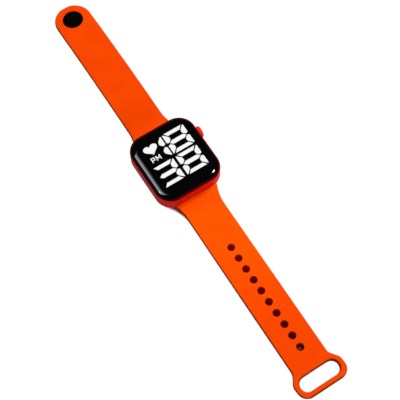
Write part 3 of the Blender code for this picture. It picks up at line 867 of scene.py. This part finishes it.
def loop_half_width(distance):
    half = root_half_width(distance) + loop_widening * ease((distance - loop_neck_y) / neck_length)
    past = distance - (loop_end_y - loop_corner)
    if past > 0:
        return half - loop_corner + math.sqrt(max(loop_corner**2 - past**2, 1e-9))
    return half


def stud_underside(distance):
    """A low hump that comes down onto the head of the stud's pin."""
    share = max(0.0, (distance - case_y / 2) / (stud_y - case_y / 2))
    return hinge_z - barrel_radius - pin_drop * share + 4 * hump * share * (1 - share)


def loop_underside(distance):
    """A straight slope from the case down to the table at the loop's end."""
    low = hinge_z - barrel_radius
    share = (distance - hinge_y) / (loop_end_y - hinge_y)
    return low + (table_height - low) * share


def strap_height(distance, underside):
    """The strap's lower and upper face at one distance from the case's centre."""
    before = hinge_y - distance
    if before > 0:
        reach = math.sqrt(max(barrel_radius**2 - before**2, 0.0))
        return hinge_z - reach, hinge_z + reach
    low = underside(distance)
    extra = 2 * barrel_radius - strap_thickness
    return low, low + strap_thickness + extra * (1 - ease(-before / root_length))


def loop_sway(distance):
    """How far the loop sits to the side of the strap's own line."""
    return loop_shift * ease((distance - loop_neck_y) / loop_shift_length)


def strap_ring(distance, sign, half_width, underside, end, sway):
    low, high = strap_height(distance, underside)
    past_round = max(0.0, distance - (end - end_round))
    high -= end_round - math.sqrt(max(end_round**2 - past_round**2, 0.0))
    half = half_width(distance)
    round_z = min(edge_round, (high - low) * 0.35)
    round_x = min(round_z, half * 0.5)
    right = []
    for angle in quarter_turn(5):
        x = half - round_x * (1 - math.sin(angle))
        right.append((x, low + round_z * (1 - math.cos(angle))))
    for angle in quarter_turn(5):
        x = half - round_x * (1 - math.cos(angle))
        right.append((x, high - round_z * (1 - math.sin(angle))))
    ring = right + [(-x, z) for x, z in reversed(right)]
    return [(x + sway(distance), sign * distance, z) for x, z in ring]


def evenly(start, end, count):
    return [start + (end - start) * step / count for step in range(1, count + 1)]


def strap_solid(name, sign, distances, half_width, underside, sway):
    end = distances[-1] + last_gap
    return skin(name, [strap_ring(d, sign, half_width, underside, end, sway) for d in distances])


last_gap = 0.00002
nose = hinge_y - barrel_radius
flare_end = case_y / 2 + flare_length
root = [nose + 0.00004]
root += [hinge_y - barrel_radius * math.cos(angle) for angle in quarter_turn(8)[1:]]
root += evenly(hinge_y, flare_end, 16)

straight_end = tip_y - strap_width / 2
tip = [straight_end + strap_width / 2 * math.sin(angle) for angle in quarter_turn(18)[1:-1]]
stud_distances = root + evenly(flare_end, straight_end, 36) + tip + [tip_y - last_gap]

neck_end = loop_neck_y + neck_length
corner_start = loop_end_y - loop_corner
corner = [corner_start + loop_corner * math.sin(angle) for angle in quarter_turn(12)[1:-1]]
hole_distances = root + evenly(flare_end, loop_neck_y, 30) + evenly(loop_neck_y, neck_end, 20)
hole_distances += evenly(neck_end, corner_start, 3) + corner + [loop_end_y - last_gap]

stud_strap = strap_solid(
    "stud_strap_rubber", 1, stud_distances, stud_half_width, stud_underside, lambda distance: 0.0
)
hole_strap = strap_solid(
    "hole_strap_rubber", -1, hole_distances, loop_half_width, loop_underside, loop_sway
)

# The stud's hole and its seat on the inner side.
stud_slope = math.atan2(stud_underside(stud_y + 0.001) - stud_underside(stud_y - 0.001), 0.002)
stud_place = Matrix.Translation((0.0, stud_y, stud_underside(stud_y)))
stud_place = stud_place @ Matrix.Rotation(stud_slope, 4, "X")
stud_hole_radius = 0.0018
stud_seat_radius = 0.0029
stud_seat_depth = 0.0006
past_strap = 0.006
stud_cuts = [
    rod("stud_hole", stud_hole_radius, -past_strap, past_strap, stud_place, 40),
    rod("stud_seat", stud_seat_radius, -past_strap, stud_seat_depth, stud_place, 40),
]
bar_hole_radius = 0.0010
bar_hole_half_length = 0.0130
bar_hole = (bar_hole_radius, -bar_hole_half_length, bar_hole_half_length)
hinge_axis = Matrix.Translation((0.0, hinge_y, hinge_z)) @ along_x
stud_cuts.append(rod("bar_hole", *bar_hole, hinge_axis, 24))
finished(stud_strap, stud_cuts)

# Ten round holes and the loop's slot, each with softly rounded rims.
hole_radius = 0.0019
hole_round = 0.00022
first_hole_y = 0.0510
hole_pitch = 0.00649
slot_middle = 0.1255
slot_half_x = 0.0107
slot_half_y = 0.00365
slot_round = 0.0009
last_lean = 0.0003
slope = math.atan2(table_height - (hinge_z - barrel_radius), loop_end_y - hinge_y)


def soft_opening(rim, underside):
    """How much wider than its waist an opening is, level by level from below the strap upward."""
    proud = 0.00002
    beyond = 0.001
    levels = [(rim, underside - beyond)]
    for angle in quarter_turn(6):
        height = underside - proud + rim * (1 - math.cos(angle))
        levels.append((rim * (1 - math.sin(angle)), height))
    for angle in quarter_turn(6):
        levels.append((rim * (1 - math.cos(angle)), proud - rim * (1 - math.sin(angle))))
    levels.append((rim, beyond))
    return levels


hole_cuts = []
for index in range(10):
    distance = first_hole_y + hole_pitch * index
    low, high = strap_height(distance, loop_underside)
    levels = soft_opening(hole_round, low - high)
    profile = [(hole_radius + grow, height) for grow, height in levels]
    lean = last_lean * index / 9
    place = Matrix.Translation((lean, -distance, high)) @ Matrix.Rotation(-slope, 4, "X")
    hole_cuts.append(turned("strap_hole", profile, place, 40))

low, high = strap_height(slot_middle, loop_underside)
rings = []
for grow, height in soft_opening(slot_round, low - high):
    half_x = slot_half_x + grow
    half_y = slot_half_y + grow
    rings.append(rounded_ring(half_x, half_y, half_y - 0.0001, height, 12))
place = Matrix.Translation((last_lean, -slot_middle, high)) @ Matrix.Rotation(-slope, 4, "X")
hole_cuts.append(skin("loop_slot", rings, place))
hinge_axis = Matrix.Translation((0.0, -hinge_y, hinge_z)) @ along_x
hole_cuts.append(rod("bar_hole", *bar_hole, hinge_axis, 24))
finished(hole_strap, hole_cuts)

# Side shade, painted: a surface that turns away from the lit side is painted a deeper tone, the
# shade that falls on the walls and the rounded edges of a moulding. The upper and the under face
# count alike.
side_shade, start, end = node_group(
    "side_shade",
    [
        ("Colour", "NodeSocketColor", (0.5, 0.5, 0.5, 1.0)),
        ("Shade Colour", "NodeSocketColor", (0.1, 0.1, 0.1, 1.0)),
        ("Begins", "NodeSocketFloat", 0.09),
        ("Full", "NodeSocketFloat", 0.34),
    ],
    [("Colour", "NodeSocketColor")],
)
place = side_shade.nodes.new("ShaderNodeTexCoord")
parts = side_shade.nodes.new("ShaderNodeSeparateXYZ")
upright = side_shade.nodes.new("ShaderNodeMath")
upright.operation = "ABSOLUTE"
level_side = side_shade.nodes.new("ShaderNodeCombineXYZ")
toward_lit = side_shade.nodes.new("ShaderNodeVectorMath")
toward_lit.operation = "DOT_PRODUCT"
toward_lit.inputs[1].default_value = (0.02, 0.28, 0.95)
steep = side_shade.nodes.new("ShaderNodeMath")
steep.operation = "SUBTRACT"
steep.inputs[0].default_value = 1.0
share = side_shade.nodes.new("ShaderNodeMapRange")
share.interpolation_type = "SMOOTHSTEP"
blend = side_shade.nodes.new("ShaderNodeMix")
blend.data_type = "RGBA"
side_shade.links.new(place.outputs["Normal"], parts.inputs["Vector"])
side_shade.links.new(parts.outputs["Z"], upright.inputs[0])
side_shade.links.new(parts.outputs["X"], level_side.inputs["X"])
side_shade.links.new(parts.outputs["Y"], level_side.inputs["Y"])
side_shade.links.new(upright.outputs["Value"], level_side.inputs["Z"])
side_shade.links.new(level_side.outputs["Vector"], toward_lit.inputs[0])
side_shade.links.new(toward_lit.outputs["Value"], steep.inputs[1])
side_shade.links.new(steep.outputs["Value"], share.inputs["Value"])
side_shade.links.new(start.outputs["Begins"], share.inputs["From Min"])
side_shade.links.new(start.outputs["Full"], share.inputs["From Max"])
side_shade.links.new(share.outputs["Result"], blend.inputs["Factor"])
side_shade.links.new(start.outputs["Colour"], blend.inputs["A"])
side_shade.links.new(start.outputs["Shade Colour"], blend.inputs["B"])
side_shade.links.new(blend.outputs["Result"], end.inputs["Colour"])

orange = (1.0, 0.072, 0.0004)
deeper_orange = (0.94, 0.060, 0.0004)
orange_silicone = moulded(
    "orange_silicone", orange, deeper_orange, (0.50, 0.62), 5200.0, 1.2e-5, 90.0
)
tree = orange_silicone.node_tree
shader = tree.nodes["Principled BSDF"]
shader.inputs["Specular IOR Level"].default_value = 0.20
shader.inputs["Specular Tint"].default_value = (1.0, 0.30, 0.02, 1.0)
# Painted shade: the strap's walls, rims and edges that face away from the lamp take a deep red.
shade = tree.nodes.new("ShaderNodeGroup")
shade.node_tree = side_shade
shade.inputs["Shade Colour"].default_value = (0.24, 0.020, 0.002, 1.0)
tree.links.new(shader.inputs["Base Color"].links[0].from_socket, shade.inputs["Colour"])
tree.links.new(shade.outputs["Colour"], shader.inputs["Base Color"])
for strap, body, node in (
    (stud_strap, "stud_band", "stud_strap"),
    (hole_strap, "hole_band", "hole_strap"),
):
    strap.data.materials.append(orange_silicone)
    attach(strap, body)
    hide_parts(node)


# The closing stud. A domed black cap on the outer face is riveted to a pin with a round head on the
# inner one, and the head snaps through a hole of the other strap.
cap_radius = 0.0054
cap_seat = strap_thickness + 0.0001
cap_edge = 0.0003
cap_dome = 0.0005
socket_radius = 0.0009
socket_top = 0.0017
boss_radius = 0.0016
boss_foot = 0.0007
cap_profile = [
    (on_axis, socket_top),
    (socket_radius, socket_top),
    (socket_radius, boss_foot),
    (boss_radius, boss_foot),
    (boss_radius, cap_seat),
    (cap_radius - 0.0001, cap_seat),
]
for angle in quarter_turn(8):
    radius = cap_radius - cap_edge * (1 - math.cos(angle))
    cap_profile.append((radius, cap_seat + 0.0001 + cap_edge * math.sin(angle)))
for step in range(1, 13):
    share = step / 12
    radius = (cap_radius - cap_edge) * (1 - share)
    rise = cap_dome * (1 - (1 - share) ** 2)
    cap_profile.append((max(radius, on_axis), cap_seat + 0.0004 + rise))
stud_cap = finished(turned("stud_button", cap_profile, stud_place, 72))
tenon_radius = 0.0008
tenon_top = 0.0015
flange_radius = 0.0026
neck_radius = 0.0015
head_radius = 0.0017
head_bulge = 0.00045
head_half_height = 0.00034
pin_profile = [
    (on_axis, tenon_top),
    (tenon_radius, tenon_top),
    (tenon_radius, 0.0005),
    (flange_radius, 0.0004),
    (flange_radius, 0.0001),
    (neck_radius, 0.0),
    (neck_radius, -0.0020),
]
for step in range(9):
    angle = math.pi * step / 8
    height = -0.0021 - head_half_height * (1 - math.cos(angle))
    pin_profile.append((head_radius + head_bulge * math.sin(angle), height))
pin_profile.append((on_axis, -0.00278))
stud_pin = finished(turned("stud_rivet", pin_profile, stud_place, 48))
for piece, node in ((stud_cap, "stud_cap"), (stud_pin, "stud_pin")):
    piece.data.materials.append(black_acrylic)
    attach(piece, "stud_band")
    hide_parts(node)


# The rear cover. A red plate with rounded edges and a counterbored screw at each corner, pressed
# down on a cord gasket that lies in the case's opening.
cover_half = 0.0130
cover_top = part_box("rear_cover")[1].z
cover_round = 0.0003
screw_seat_radius = 0.0014
screw_seat_depth = 0.00055
through_cover = 0.002
cover_rings = []
for angle in quarter_turn(6):
    inset = cover_round * (1 - math.sin(angle))
    height = cover_round * (1 - math.cos(angle))
    half = cover_half - inset
    cover_rings.append(rounded_ring(half, half, cover_corner - inset, height, 10))
cover_rings.append(rounded_ring(cover_half, cover_half, cover_corner, cover_top, 10))
rear_plate = skin("rear_plate", cover_rings)
cover_cuts = []
for place in screw_places:
    cover_cuts.append(rod("screw_hole", screw_radius, below, through_cover, place, 24))
    cover_cuts.append(rod("screw_seat", screw_seat_radius, below, screw_seat_depth, place, 32))
finished(rear_plate, cover_cuts)
rear_plate.data.materials.append(red_plastic)
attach(rear_plate, "case")
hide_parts("rear_cover")


# The pieces out of sight keep their shape from the model and get their real finish: brushed and
# drawn steel, solder-masked boards, black and white moulded plastic, and rubber seals.
def dress(material, *names):
    for name in names:
        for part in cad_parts[name].material_slots:
            part.material = material


dress(brushed_steel, "cover_screw_1", "cover_screw_2", "cover_screw_3", "cover_screw_4")
dress(brushed_steel, "upper_spring_bar", "lower_spring_bar", "battery_clip", "battery_contact")
dress(brushed_steel, "coin_cell", "crown_stem", "crown_clip", "quartz_crystal")

seal_rubber = moulded(
    "seal_rubber", (0.012, 0.012, 0.012), (0.02, 0.02, 0.02), (0.6, 0.8), 3000.0, 1e-5
)
dress(seal_rubber, "cover_gasket", "crown_seal", "lens_gasket")

board_green = moulded(
    "board_green", (0.012, 0.13, 0.05), (0.02, 0.18, 0.07), (0.25, 0.4), 1500.0, 4e-6, 700.0
)
dress(board_green, "main_board", "display_board")

black_resin = moulded(
    "black_resin", (0.010, 0.010, 0.011), (0.018, 0.018, 0.018), (0.4, 0.6), 2500.0, 8e-6
)
dress(black_resin, "controller_chip", "push_switch", "switch_plunger")

white_plastic = moulded(
    "white_plastic", (0.78, 0.78, 0.77), (0.85, 0.85, 0.84), (0.45, 0.6), 2500.0, 6e-6
)
dress(white_plastic, "display_reflector", "diffuser_film")
